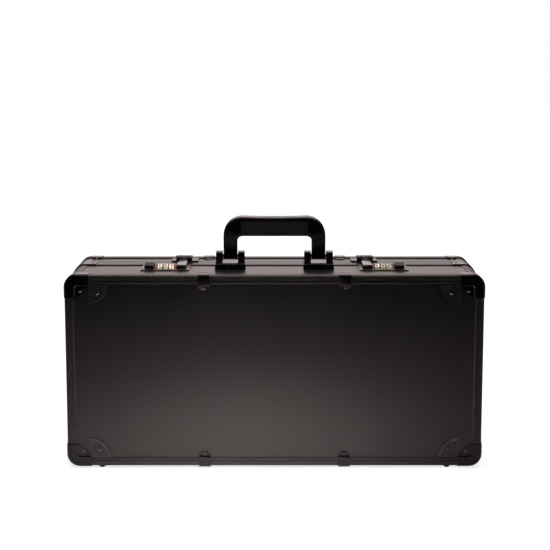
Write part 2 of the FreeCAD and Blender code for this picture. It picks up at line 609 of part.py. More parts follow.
# slider block, stem and latch bar
zs0 = Z1 + 0.3
sl = poly_x([(SLD[2], zs0), (SLD[3], zs0), (SLD[3], Z1 + 6.3), (SLD[3] - 2.6, Z1 + 6.4), (SLD[3] - 4.4, Z1 + 5.1),
             (SLD[2] + 1.0, Z1 + 5.3), (SLD[2], Z1 + 4.4)], SLD[0], SLD[1])
for k in range(3):
    yy = SLD[2] + 2.2 + 1.9 * k
    sl = sl.cut(poly_x([(yy, Z1 + 4.6), (yy + 1.0, Z1 + 4.6), (yy + 1.0, Z1 + 8), (yy, Z1 + 8)], SLD[0] + 1.2, SLD[1] - 1.2))
stem = bx(161.0, 168.5, -18.6, -12.4, 248.0, zs0 + 0.5)
sl = sl.fuse(stem)
save("right_slider", sl)
save("left_slider", mx(sl))
bar = bx(161.0, 168.5, -24.2, -12.4, 245.0, 248.0)
bar = bar.fuse([bx(119.0, 168.5, -24.2, -22.2, 245.0, 251.0), bx(119.0, 123.0, -24.2, -16.0, 247.0, 251.0)])
save("right_latch_bar", bar)
save("left_latch_bar", mx(bar))

scrs = []
for x in (115.4, 172.6):
    for y in (-26.4, -1.4):
        hd = dome((x, y, Z1), (0, 0, 1), 2.0, 0.7)
        scrs += pair(hd)
save("lock_screws", scrs)


# hasp base on the lid, tongue and pin
def hasp_base():
    b = bx(104.0, 139.8, Y_PART + 0.3, 37.0, Z1, Z1 + 2.1)
    up_ = [e for e in b.Edges if abs(e.BoundBox.ZMin - Z1 - 2.1) < 1e-3]
    b = b.makeChamfer(0.6, up_)
    b = b.fuse(bx(104.0, 139.8, Y_PART + V_LID + 0.05, 37.0, Z1 - REC, Z1))
    zh = Z1 + TNG_H
    adds = []
    for x0, x1 in ((112.0, 118.8), (128.5, 133.8)):
        adds.append(cylx(3.7, x0, x1, TNG_Y, zh))
        adds.append(poly_x([(Y_PART + 0.3, Z1 + 0.2), (31.0, Z1 + 0.2), (31.0, Z1 + 5.0), (29.0, Z1 + 7.4),
                            (TNG_Y, zh + 3.7), (TNG_Y, zh), (Y_PART + 0.3, zh)], x0, x1))
    adds.append(poly_x([(26.9, Z1 + 0.2), (31.0, Z1 + 0.2), (31.0, Z1 + 5.0), (29.0, Z1 + 7.4), (26.9, Z1 + 7.6)], 118.0, 129.0))
    b = b.fuse(adds)
    b = b.cut(bx(118.8, 128.5, Y_PART - 3, 26.9, Z1 - 0.5, Z1 + 20))
    return b.cut(cylx(HASP_PIN_R, 100, 145, TNG_Y, zh))


hb = hasp_base()
save("hasp_bases", pair(hb))
save("hasp_pins", pair(cylx(HASP_PIN_R, 111.8, 134.0, TNG_Y, Z1 + TNG_H)))


def tongue():
    z = Z1
    zh = Z1 + TNG_H
    arm = poly_x([(-22.0, z + 0.35), (-15.0, z + 0.35), (-14.2, z + 2.3), (13.0, z + 2.3), (18.4, z + 2.1),
                  (18.4, z + 4.3), (2.0, z + 4.5), (-9.0, z + 4.9), (-20.9, z + 4.9), (-22.0, z + 4.0)], TNG[0], TNG[1])
    k0, k1 = 119.1, 128.2
    web_ = poly_x([(17.0, z + 2.15), (TNG_Y, z + 2.0), (TNG_Y, z + 5.5), (17.0, z + 4.3)], k0, k1)
    t = arm.fuse([web_, cylx(3.6, k0, k1, TNG_Y, zh)])
    return t.cut(cylx(HASP_PIN_R + 0.06, 100, 145, TNG_Y, zh))


tg = tongue()
save("right_hasp_tongue", tg)
save("left_hasp_tongue", mx(tg))

hscr = []
for x in (108.0, 136.9):
    hd = dome((x, 29.5, Z1 + 2.1), (0, 0, 1), 1.9, 0.8)
    hd = hd.cut(bx(x - 3, x + 3, 29.25, 29.75, Z1 + 2.5, Z1 + 5))
    hscr += pair(hd)
save("hasp_screws", hscr)

for n, c, v in made:
    print("%-26s %3d solids %10.1f mm3" % (n, c, v))
print(len(made), "nodes")
print("stay pivots", SB, SC, SE)
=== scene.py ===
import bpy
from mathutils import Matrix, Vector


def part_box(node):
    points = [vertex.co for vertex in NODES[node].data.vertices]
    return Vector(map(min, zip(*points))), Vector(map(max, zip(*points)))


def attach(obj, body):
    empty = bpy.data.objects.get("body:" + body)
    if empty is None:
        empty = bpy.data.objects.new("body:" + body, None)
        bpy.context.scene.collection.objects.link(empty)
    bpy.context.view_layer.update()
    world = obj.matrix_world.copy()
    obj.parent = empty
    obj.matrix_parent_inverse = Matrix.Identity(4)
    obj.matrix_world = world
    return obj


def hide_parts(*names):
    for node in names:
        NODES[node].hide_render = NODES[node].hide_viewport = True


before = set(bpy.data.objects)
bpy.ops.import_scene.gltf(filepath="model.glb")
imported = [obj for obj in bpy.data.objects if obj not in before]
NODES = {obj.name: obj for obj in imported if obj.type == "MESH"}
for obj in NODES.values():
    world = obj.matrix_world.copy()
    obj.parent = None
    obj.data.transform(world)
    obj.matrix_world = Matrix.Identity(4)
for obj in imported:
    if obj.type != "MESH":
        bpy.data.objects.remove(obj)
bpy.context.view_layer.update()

import bpy
import bmesh
import math
from mathutils import Vector, Matrix, noise

SC = bpy.context.scene
MM = 0.001
TOP = 0.2568                      # top of the frame
HB_Y, HB_Z = -0.011, TOP + 0.0155  # handle pivot

# ------------------------------------------------------------------ material helpers


def new_mat(name):
    m = bpy.data.materials.new(name)
    m.use_nodes = True
    nt = m.node_tree
    nt.nodes.clear()
    out = nt.nodes.new("ShaderNodeOutputMaterial")
    b = nt.nodes.new("ShaderNodeBsdfPrincipled")
    nt.links.new(b.outputs[0], out.inputs[0])
    tc = nt.nodes.new("ShaderNodeTexCoord")
    return m, nt, b, tc


def node(nt, kind, **kw):
    n = nt.nodes.new(kind)
    for k, v in kw.items():
        if k in n.inputs:
            n.inputs[k].default_value = v
        else:
            setattr(n, k, v)
    return n


def noise_tex(nt, vec, scale, detail=3.0, rough=0.55, dist=0.0):
    n = nt.nodes.new("ShaderNodeTexNoise")
    n.inputs["Scale"].default_value = scale
    n.inputs["Detail"].default_value = detail
    n.inputs["Roughness"].default_value = rough
    n.inputs["Distortion"].default_value = dist
    nt.links.new(vec, n.inputs["Vector"])
    return n.outputs["Fac"]


def voro(nt, vec, scale, feature="SMOOTH_F1", smooth=0.6):
    n = nt.nodes.new("ShaderNodeTexVoronoi")
    n.feature = feature
    n.inputs["Scale"].default_value = scale
    if feature == "SMOOTH_F1":
        n.inputs["Smoothness"].default_value = smooth
    nt.links.new(vec, n.inputs["Vector"])
    return n.outputs["Distance"]


def remap(nt, fac, a0, a1, b0, b1):
    n = nt.nodes.new("ShaderNodeMapRange")
    n.inputs["From Min"].default_value = a0
    n.inputs["From Max"].default_value = a1
    n.inputs["To Min"].default_value = b0
    n.inputs["To Max"].default_value = b1
    nt.links.new(fac, n.inputs["Value"])
    return n.outputs["Result"]


def mix_col(nt, fac, c0, c1):
    n = nt.nodes.new("ShaderNodeMix")
    n.data_type = "RGBA"
    for i, c in ((6, c0), (7, c1)):
        if isinstance(c, (tuple, list)):
            n.inputs[i].default_value = (c[0], c[1], c[2], 1)
        else:
            nt.links.new(c, n.inputs[i])
    if isinstance(fac, float):
        n.inputs[0].default_value = fac
    else:
        nt.links.new(fac, n.inputs[0])
    return n.outputs[2]


def math_n(nt, op, a, b=0.0, c=None):
    n = nt.nodes.new("ShaderNodeMath")
    n.operation = op
    for i, v in enumerate((a, b) if c is None else (a, b, c)):
        if isinstance(v, (int, float)):
            n.inputs[i].default_value = v
        else:
            nt.links.new(v, n.inputs[i])
    return n.outputs[0]


def bump(nt, bsdf, height, dist, strength=1.0, prev=None):
    n = nt.nodes.new("ShaderNodeBump")
    n.inputs["Distance"].default_value = dist
    n.inputs["Strength"].default_value = strength
    nt.links.new(height, n.inputs["Height"])
    if prev is not None:
        nt.links.new(prev, n.inputs["Normal"])
    nt.links.new(n.outputs[0], bsdf.inputs["Normal"])
    return n.outputs[0]


def edge_mask(nt, lo=0.52, hi=0.60):
    g = nt.nodes.new("ShaderNodeNewGeometry")
    return remap(nt, g.outputs["Pointiness"], lo, hi, 0.0, 1.0)


WARM = (1.0, 0.84, 0.82, 1.0)


def base_set(b, metallic=0.0, rough=0.4, spec=0.5, coat=0.0, coat_r=0.1, tint=WARM, ior=1.5):
    b.inputs["Metallic"].default_value = metallic
    b.inputs["Roughness"].default_value = rough
    b.inputs["Specular IOR Level"].default_value = spec
    b.inputs["Specular Tint"].default_value = tint
    b.inputs["Coat Weight"].default_value = coat
    b.inputs["Coat Roughness"].default_value = coat_r
    b.inputs["IOR"].default_value = ior


def mat_panel():
    m, nt, b, tc = new_mat("panel_grain")
    o = tc.outputs["Object"]
    base_set(b, rough=0.31, spec=0.6)
    big = noise_tex(nt, o, 9.0, 3.0)
    fine = noise_tex(nt, o, 420.0, 2.0)
    cells = voro(nt, o, 820.0)
    v = math_n(nt, "ADD", math_n(nt, "MULTIPLY", big, 0.6), math_n(nt, "MULTIPLY", fine, 0.4))
    c = mix_col(nt, remap(nt, v, 0.35, 0.65, 0.0, 1.0), (0.0065, 0.0056, 0.0055), (0.0105, 0.009, 0.0089))
    c2 = mix_col(nt, remap(nt, cells, 0.15, 0.6, 0.0, 1.0), c, (0.005, 0.0044, 0.0044))
    nt.links.new(c2, b.inputs["Base Color"])
    nt.links.new(remap(nt, v, 0.3, 0.7, 0.28, 0.35), b.inputs["Roughness"])
    n1 = bump(nt, b, cells, 0.00022, 0.55)
    bump(nt, b, noise_tex(nt, o, 1500.0, 2.0), 0.00006, 0.5, n1)
    return m


def mat_frame():
    m, nt, b, tc = new_mat("frame_anodised")
    o = tc.outputs["Object"]
    base_set(b, metallic=0.0, rough=0.35, spec=0.42)
    mp = nt.nodes.new("ShaderNodeMapping")
    mp.inputs["Scale"].default_value = (22, 900, 22)
    nt.links.new(o, mp.inputs["Vector"])
    streak = noise_tex(nt, mp.outputs[0], 1.0, 3.0)
    blot = noise_tex(nt, o, 14.0, 4.0)
    v = math_n(nt, "ADD", math_n(nt, "MULTIPLY", streak, 0.5), math_n(nt, "MULTIPLY", blot, 0.5))
    c = mix_col(nt, remap(nt, v, 0.35, 0.65, 0.0, 1.0), (0.0075, 0.0065, 0.0064), (0.012, 0.0104, 0.0102))
    nt.links.new(c, b.inputs["Base Color"])
    nt.links.new(remap(nt, v, 0.3, 0.7, 0.31, 0.40), b.inputs["Roughness"])
    bump(nt, b, streak, 0.00003, 0.4)
    return m


def mat_trim():
    m, nt, b, tc = new_mat("trim_anodised")
    o = tc.outputs["Object"]
    base_set(b, metallic=0.0, rough=0.42, spec=0.55)
    mp = nt.nodes.new("ShaderNodeMapping")
    mp.inputs["Scale"].default_value = (22, 900, 22)
    nt.links.new(o, mp.inputs["Vector"])
    streak = noise_tex(nt, mp.outputs[0], 1.0, 3.0)
    blot = noise_tex(nt, o, 14.0, 4.0)
    v = math_n(nt, "ADD", math_n(nt, "MULTIPLY", streak, 0.5), math_n(nt, "MULTIPLY", blot, 0.5))
    c = mix_col(nt, remap(nt, v, 0.35, 0.65, 0.0, 1.0), (0.012, 0.0104, 0.0102), (0.018, 0.0158, 0.0155))
    nt.links.new(c, b.inputs["Base Color"])
    nt.links.new(remap(nt, v, 0.3, 0.7, 0.38, 0.46), b.inputs["Roughness"])
    bump(nt, b, streak, 0.00003, 0.4)
    return m


def mat_fitting():
    m, nt, b, tc = new_mat("fitting_enamel")
    o = tc.outputs["Object"]
    base_set(b, rough=0.2, spec=0.4, coat=0.0)
    peel = noise_tex(nt, o, 260.0, 2.0)
    blot = noise_tex(nt, o, 30.0, 3.0)
    wear = remap(nt, noise_tex(nt, o, 700.0, 3.0), 0.66, 0.74, 0.0, 0.12)
    c = mix_col(nt, remap(nt, blot, 0.35, 0.65, 0.0, 1.0), (0.0022, 0.002, 0.002), (0.0042, 0.0037, 0.0037))
    c = mix_col(nt, wear, c, (0.10, 0.09, 0.085))
    nt.links.new(c, b.inputs["Base Color"])
    nt.links.new(remap(nt, blot, 0.3, 0.7, 0.18, 0.27), b.inputs["Roughness"])
    bump(nt, b, peel, 0.00004, 0.5)
    return m


def mat_metal(name, c0, c1, rough, metallic=0.9, scale=60.0, tint=(1, 0.95, 0.93, 1), brush=None):
    m, nt, b, tc = new_mat(name)
    o = tc.outputs["Object"]
    base_set(b, metallic=metallic, rough=rough, spec=0.5, tint=tint)
    blot = noise_tex(nt, o, scale, 4.0)
    vec = o
    if brush:
        mp = nt.nodes.new("ShaderNodeMapping")
        mp.inputs["Scale"].default_value = brush
        nt.links.new(o, mp.inputs["Vector"])
        vec = mp.outputs[0]
        fine = noise_tex(nt, vec, 1.0, 3.0)
    else:
        fine = noise_tex(nt, vec, 900.0, 2.0)
    v = math_n(nt, "ADD", math_n(nt, "MULTIPLY", blot, 0.6), math_n(nt, "MULTIPLY", fine, 0.4))
    nt.links.new(mix_col(nt, remap(nt, v, 0.35, 0.65, 0.0, 1.0), c0, c1), b.inputs["Base Color"])
    nt.links.new(remap(nt, v, 0.3, 0.7, rough - 0.06, rough + 0.08), b.inputs["Roughness"])
    bump(nt, b, fine, 0.00003, 0.5)
    return m


def mat_gloss(name, c0, c1, rough=0.16, coat=0.4, peel=180.0, amp=0.00005, tint=(1, 1, 1, 1), spec=0.5):
    m, nt, b, tc = new_mat(name)
    o = tc.outputs["Object"]
    base_set(b, rough=rough, spec=spec, coat=coat, coat_r=0.06, tint=tint)
    blot = noise_tex(nt, o, 40.0, 3.0)
    smear = noise_tex(nt, o, 12.0, 4.0, 0.65, 0.6)
    nt.links.new(mix_col(nt, blot, c0, c1), b.inputs["Base Color"])
    nt.links.new(remap(nt, smear, 0.35, 0.7, rough - 0.03, rough + 0.10), b.inputs["Roughness"])
    bump(nt, b, noise_tex(nt, o, peel, 2.0), amp, 0.4)
    return m


def mat_ribbed():
    m, nt, b, tc = new_mat("grip_ribbed")
    o = tc.outputs["Object"]
    base_set(b, rough=0.42, spec=0.35)
    w = nt.nodes.new("ShaderNodeTexWave")
    w.wave_type = "BANDS"
    w.bands_direction = "X"
    w.inputs["Scale"].default_value = 200.0
    nt.links.new(o, w.inputs["Vector"])
    g = noise_tex(nt, o, 1100.0, 2.0)
    nt.links.new(mix_col(nt, w.outputs["Fac"], (0.010, 0.009, 0.009), (0.022, 0.02, 0.02)), b.inputs["Base Color"])
    nt.links.new(remap(nt, g, 0.3, 0.7, 0.42, 0.58), b.inputs["Roughness"])
    n1 = bump(nt, b, w.outputs["Fac"], 0.0003, 0.6)
    bump(nt, b, g, 0.00006, 0.5, n1)
    return m


def mat_rubber():
    m, nt, b, tc = new_mat("foot_rubber")
    o = tc.outputs["Object"]
    base_set(b, rough=0.7, spec=0.3)
    g = noise_tex(nt, o, 700.0, 3.0)
    nt.links.new(mix_col(nt, noise_tex(nt, o, 120.0, 3.0), (0.012, 0.012, 0.012), (0.03, 0.028, 0.028)), b.inputs["Base Color"])
    nt.links.new(remap(nt, g, 0.3, 0.7, 0.6, 0.8), b.inputs["Roughness"])
    bump(nt, b, g, 0.0001, 0.6)
    return m


def mat_foam():
    m, nt, b, tc = new_mat("foam_cells")
    o = tc.outputs["Object"]
    base_set(b, rough=0.95, spec=0.15, tint=(1, 1, 1, 1))
    cells = voro(nt, o, 650.0, "F1")
    blot = noise_tex(nt, o, 25.0, 3.0)
    c = mix_col(nt, remap(nt, cells, 0.1, 0.7, 0.0, 1.0), (0.012, 0.012, 0.013), (0.055, 0.054, 0.057))
    c = mix_col(nt, remap(nt, blot, 0.3, 0.7, 0.0, 0.35), c, (0.03, 0.03, 0.032))
    nt.links.new(c, b.inputs["Base Color"])
    b.inputs["Sheen Weight"].default_value = 0.25
    b.inputs["Sheen Roughness"].default_value = 0.6
    n1 = bump(nt, b, cells, 0.0008, 0.8)
    bump(nt, b, noise_tex(nt, o, 2200.0, 2.0), 0.0003, 0.5, n1)
    return m


def mat_felt():
    m, nt, b, tc = new_mat("lining_felt")
    o = tc.outputs["Object"]
    base_set(b, rough=0.9, spec=0.2, tint=(1, 1, 1, 1))
    f1 = noise_tex(nt, o, 900.0, 4.0, 0.7, 1.5)
    f2 = noise_tex(nt, o, 60.0, 4.0, 0.6, 0.8)
    c = mix_col(nt, remap(nt, f1, 0.35, 0.65, 0.0, 1.0), (0.018, 0.018, 0.02), (0.05, 0.049, 0.053))
    c = mix_col(nt, remap(nt, f2, 0.35, 0.7, 0.0, 0.4), c, (0.032, 0.031, 0.034))
    nt.links.new(c, b.inputs["Base Color"])
    b.inputs["Sheen Weight"].default_value = 0.4
    b.inputs["Sheen Roughness"].default_value = 0.5
    bump(nt, b, f1, 0.0004, 0.8)
    return m


M = {
    "panel": mat_panel(),
    "frame": mat_frame(),
    "trim": mat_trim(),
    "fitting": mat_fitting(),
    "fan": mat_metal("fan_plate_black_nickel", (0.072, 0.062, 0.06), (0.1, 0.087, 0.084), 0.32, 0.85, 25.0),
    "rivet": mat_metal("rivet_black_nickel", (0.09, 0.08, 0.078), (0.15, 0.136, 0.13), 0.27, 0.85, 400.0),
    "hinge": mat_metal("hinge_black_oxide", (0.04, 0.038, 0.038), (0.08, 0.075, 0.075), 0.38, 0.8, brush=(8, 700, 700)),
    "zinc": mat_metal("zinc_plated", (0.42, 0.40, 0.36), (0.55, 0.53, 0.48), 0.38, 0.95),
    "lock": mat_metal("lock_plate_satin", (0.012, 0.0105, 0.0103), (0.022, 0.019, 0.0188), 0.26, 0.0, 80.0, WARM),
    "hasp": mat_metal("hasp_black_chrome", (0.02, 0.0185, 0.019), (0.035, 0.032, 0.032), 0.13, 0.3, 90.0),
    "handle": mat_gloss("handle_gloss_black", (0.0032, 0.0031, 0.0033), (0.005, 0.0048, 0.005), 0.2, 0.0, spec=0.17),
    "bracket": mat_gloss("bracket_black", (0.0025, 0.0023, 0.0023), (0.0045, 0.0042, 0.0042), 0.2, 0.0, spec=0.5),
    "slider": mat_gloss("slider_black", (0.006, 0.0055, 0.0055), (0.012, 0.011, 0.011), 0.45, 0.0),
    "dial": mat_gloss("dial_cream", (0.90, 0.79, 0.58), (0.97, 0.89, 0.72), 0.24, 0.4),
    "cover": mat_metal("dial_cover_copper", (0.10, 0.040, 0.028), (0.17, 0.075, 0.055), 0.38, 0.5, 120.0),
    "red": mat_gloss("indicator_red", (0.70, 0.004, 0.004), (0.85, 0.012, 0.01), 0.35, 0.0),
    "ink": mat_gloss("digit_ink", (0.01, 0.009, 0.009), (0.02, 0.018, 0.018), 0.45, 0.0),
    # Painted shade: near-black matte ring laid in the gap round the grip panels, standing in for the gap's shadow.
    "seam": mat_gloss("panel_seam_shade", (0.002, 0.002, 0.002), (0.004, 0.004, 0.004), 0.6, 0.0),
    "ribbed": mat_ribbed(),
    "rubber": mat_rubber(),
    "foam": mat_foam(),
    "felt": mat_felt(),
}

LOOK = {
    "panel": ["base_face_panel", "base_top_panel", "base_bottom_panel", "base_side_panels",
              "lid_face_panel", "lid_top_panel", "lid_bottom_panel", "lid_side_panels"],
    "trim": ["base_edge_trim", "lid_edge_trim"],
    "frame": ["base_rim_rail", "lid_rim_rail", "base_corner_posts", "lid_corner_posts"],
    "fitting": ["base_corner_caps", "lid_corner_caps", "base_corner_brackets", "lid_corner_brackets",
                "base_frame_clips", "lid_frame_clips"],
    "fan": ["base_fan_plates", "lid_fan_plates"],
    "rivet": ["base_rivets", "lid_rivets", "lock_screws", "hasp_screws"],
    "hinge": ["base_hinge_leaf", "lid_hinge_leaf", "hinge_pin", "handle_pins", "hasp_pins", "base_stay_links", "lid_stay_links"],
    "zinc": ["handle_backing_plates", "lock_housings", "dial_spindles", "left_latch_bar", "right_latch_bar"],
    "lock": ["lock_plates"],
    "hasp": ["hasp_bases", "left_hasp_tongue", "right_hasp_tongue"],
    "bracket": ["handle_brackets"],
    "slider": ["left_slider", "right_slider"],
    "dial": ["%s_dial_%d" % (s, k) for s in ("left", "right") for k in (1, 2, 3)],
    "cover": ["dial_covers"],
    "red": ["lock_indicators"],
    "ribbed": ["handle_grip_panels"],
    "rubber": ["base_feet", "lid_feet"],
}
for key, names in LOOK.items():
    for n in names:
        ob = NODES[n]
        for s in ob.material_slots:
            s.material = M[key]

# ------------------------------------------------------------------ edge rounding on the CAD nodes
gn = bpy.data.node_groups.new("shade_smooth", "GeometryNodeTree")
gn.interface.new_socket("Geometry", in_out="INPUT", socket_type="NodeSocketGeometry")
gn.interface.new_socket("Geometry", in_out="OUTPUT", socket_type="NodeSocketGeometry")
gi = gn.nodes.new("NodeGroupInput")
go = gn.nodes.new("NodeGroupOutput")
ss = gn.nodes.new("GeometryNodeSetShadeSmooth")
gn.links.new(gi.outputs[0], ss.inputs[0])
gn.links.new(ss.outputs[0], go.inputs[0])


def soften(name, width, seg=2, angle=32.0):
    ob = NODES[name]
    g = ob.modifiers.new("smooth", "NODES")
    g.node_group = gn
    w = ob.modifiers.new("weld", "WELD")
    w.merge_threshold = 1e-6
    b = ob.modifiers.new("bevel", "BEVEL")
    b.width = width
    b.segments = seg
    b.limit_method = "ANGLE"
    b.angle_limit = math.radians(angle)
    b.use_clamp_overlap = True
    b.harden_normals = False
    b.miter_outer = "MITER_ARC"
    w2 = ob.modifiers.new("weld_bevel", "WELD")
    w2.merge_threshold = 5e-6
    wn = ob.modifiers.new("wn", "WEIGHTED_NORMAL")
    wn.keep_sharp = False
    wn.weight = 100


for n, w in (("base_corner_brackets", 0.35), ("lid_corner_brackets", 0.35), ("base_rim_rail", 0.4), ("lid_rim_rail", 0.3),
             ("base_corner_posts", 0.3), ("lid_corner_posts", 0.3), ("base_frame_clips", 0.3), ("lid_frame_clips", 0.3),
             ("handle_brackets", 0.7), ("lock_plates", 0.2), ("hasp_bases", 0.35), ("left_hasp_tongue", 0.5),
             ("right_hasp_tongue", 0.5), ("left_slider", 0.35), ("right_slider", 0.35), ("base_stay_links", 0.25),
             ("lid_stay_links", 0.25)):
    soften(n, w * MM)


# ------------------------------------------------------------------ mesh helpers
def make_obj(name, verts, faces, mat, smooth=True):
    me = bpy.data.meshes.new(name)
    me.from_pydata(verts, [], faces)
    me.validate()
    bm = bmesh.new()
    bm.from_mesh(me)
    bmesh.ops.recalc_face_normals(bm, faces=bm.faces)
    bm.to_mesh(me)
    bm.free()
    ob = bpy.data.objects.new(name, me)
    SC.collection.objects.link(ob)
    me.materials.append(mat)
    for p in me.polygons:
        p.use_smooth = smooth
    return ob


def sup(t, n):
    c, s = math.cos(t), math.sin(t)
    return (math.copysign(abs(c) ** (2.0 / n), c), math.copysign(abs(s) ** (2.0 / n), s))


# ------------------------------------------------------------------ handle loop
def smooth01(t):
    t = max(0.0, min(1.0, t))
    return t * t * (3 - 2 * t)


def half_depth(x, h):
    """Half thickness of the handle at |x| and h mm above the frame: slimmer legs that swell gently into the grip."""
    if h < 15.5:
        return math.sqrt(max(25.0 - (15.5 - h) ** 2, 0.02))
    k = 17.0 + 7.0 * max(0.0, min(1.0, (abs(x) - 49.1) / 18.3))
    return 5.0 + 5.0 * smooth01((h - k) / 38.0) ** 0.85


def build_handle():
    x_out, x_in = 67.4, 49.1
    z_top, z_und = 68.5, 42.6
    ri, ro = 7.0, 25.0
    st = []                                    # stations: inner (x, z), outer (x, z), exponent
    for i in range(8):                         # rounded foot of the leg round the pivot
        a = math.radians(90 * i / 7.0)
        z = 15.5 - 4.99 * math.cos(a)
        sh = 0.45 * (1 - math.sin(a)) ** 2
        st.append(((x_in + sh, z), (x_out - sh, z), 9.0))
    for z in (17.5, 20.0, 22.5, 25.0, 27.5, 30.0, 32.5, 34.5):
        st.append(((x_in, z), (x_out, z + 0.25 * max(0.0, z - 22.0)), 9.0))
    zc_i, zc_o = z_und - ri, z_top - ro
    for i in range(0, 15):                     # corner
        a = math.radians(90 * i / 14.0)
        inner = (x_in - ri + ri * math.cos(a), zc_i + ri * math.sin(a))
        outer = (x_out - ro + ro * math.cos(a), zc_o + ro * math.sin(a))
        if i == 0:
            outer = (x_out, 40.5)
        st.append((inner, outer, 8.0))
    n_grip = 24
    for i in range(n_grip + 1):
        x = 42.0 * (1 - i / float(n_grip / 2.0))
        dip = 0.8 * (1 - (x / 42.0) ** 2)
        st.append(((x, z_und), (x, z_top - dip), 7.5))
    left = [((-p[0], p[1]), (-q[0], q[1]), n) for p, q, n in reversed(st[:-(n_grip + 1)])]
    st = st + left
    K = 48
    verts, faces = [], []
    for inner, outer, ex in st:
        cx, cz = (inner[0] + outer[0]) / 2, (inner[1] + outer[1]) / 2
        ux, uz = (outer[0] - inner[0]) / 2, (outer[1] - inner[1]) / 2
        for k in range(K):
            c, sn = sup(2 * math.pi * (k + 0.5) / K, ex)
            x, h = cx + ux * c, cz + uz * c
            crown = 1.0
            verts.append((x * MM, HB_Y + half_depth(x, h) * sn * crown * MM, TOP + h * MM))
    for i in range(len(st) - 1):
        for k in range(K):
            a, b = i * K + k, i * K + (k + 1) % K
            faces.append((a, b, b + K, a + K))
    faces.append(tuple(range(K)))
    faces.append(tuple((len(st) - 1) * K + k for k in range(K)))
    ob = make_obj("handle_loop_visual", verts, faces, M["handle"])
    m = ob.modifiers.new("sub", "SUBSURF")
    m.levels = 1
    m.render_levels = 1
    return ob


def build_seams():
    """The narrow shadow gap round each inset grip panel."""
    verts, faces = [], []
    for sy in (-1, 1):
        y0, y1 = -11.0 + sy * 9.6, -11.0 + sy * 10.06
        off = len(verts)
        outer, inner = [], []
        for hw, h0, h1, r, lst in ((43.75, 47.2, 62.8, 0.8, outer), (42.9, 48.1, 61.9, 0.4, inner)):
            for cx, cz, a0 in ((hw - r, h1 - r, 0), (-hw + r, h1 - r, 90), (-hw + r, h0 + r, 180), (hw - r, h0 + r, 270)):
                for i in range(5):
                    a = math.radians(a0 + 90 * i / 4.0)
                    lst.append((cx + r * math.cos(a), cz + r * math.sin(a)))
        n = len(outer)
        for lst in (outer, inner):
            for y in (y0, y1):
                for x, h in lst:
                    verts.append((x * MM, y * MM, TOP + h * MM))
        for i in range(n):
            j = (i + 1) % n
            o0, o1, i0, i1 = off, off + n, off + 2 * n, off + 3 * n
            faces += [(o0 + i, o0 + j, o1 + j, o1 + i), (i0 + i, i1 + i, i1 + j, i0 + j),
                      (o1 + i, o1 + j, i1 + j, i1 + i), (o0 + i, i0 + i, i0 + j, o0 + j)]
    # Painted shadow of the gap round the grip panels, built as a separate near-black ring.
    ob = make_obj("handle_panel_seam_shade", verts, faces, M["seam"], smooth=False)
    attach(ob, "handle")
    return ob


handle = build_handle()
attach(handle, "handle")
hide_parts("handle_loop")
build_seams()


# ------------------------------------------------------------------ dial digits
def digits(side, k, sx):
    xs = (136.1, 143.75, 151.4)
    xc = sx * xs[k - 1] * MM
    cy, cz, R = -0.012, TOP - 0.00495, 0.0095
    vs, fs = [], []
    for d in range(10):
        cu = bpy.data.curves.new("t", "FONT")
        cu.body = str(d)
        cu.size = 0.0056
        cu.align_x = "CENTER"
        cu.align_y = "CENTER"
        cu.resolution_u = 3
        cu.offset = 0.00009
        tob = bpy.data.objects.new("t", cu)
        SC.collection.objects.link(tob)
        bpy.context.view_layer.update()
        me = bpy.data.meshes.new_from_object(tob.evaluated_get(bpy.context.evaluated_depsgraph_get()))
        bm = bmesh.new()
        bm.from_mesh(me)
        bmesh.ops.remove_doubles(bm, verts=bm.verts, dist=1e-6)
        for cut in range(-3, 4):
            bmesh.ops.bisect_plane(bm, geom=bm.verts[:] + bm.edges[:] + bm.faces[:], plane_co=(0, cut * 0.0006, 0), plane_no=(0, 1, 0))
        top_f = bm.faces[:]
        r = bmesh.ops.extrude_face_region(bm, geom=top_f)
        up = [e for e in r["geom"] if isinstance(e, bmesh.types.BMVert)]
        bmesh.ops.translate(bm, verts=up, vec=(0, 0, 0.00012))
        bm.verts.ensure_lookup_table()
        a0 = math.radians(36 * d)
        off = len(vs)
        bm.verts.index_update()
        for v in bm.verts:
            a = a0 + v.co.y / R
            rr = R - 0.00004 + v.co.z
            vs.append((xc + v.co.x, cy + rr * math.sin(a), cz + rr * math.cos(a)))
        for f in bm.faces:
            fs.append(tuple(off + v.index for v in f.verts))
        bm.free()
        bpy.data.objects.remove(tob)
        bpy.data.curves.remove(cu)
        bpy.data.meshes.remove(me)
    ob = make_obj("%s_dial_%d_digits" % (side, k), vs, fs, M["ink"], smooth=False)
    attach(ob, "%s_dial_%d" % (side, k))


for side, sx in (("left", -1), ("right", 1)):
    for k in (1, 2, 3):
        digits(side, k, sx)


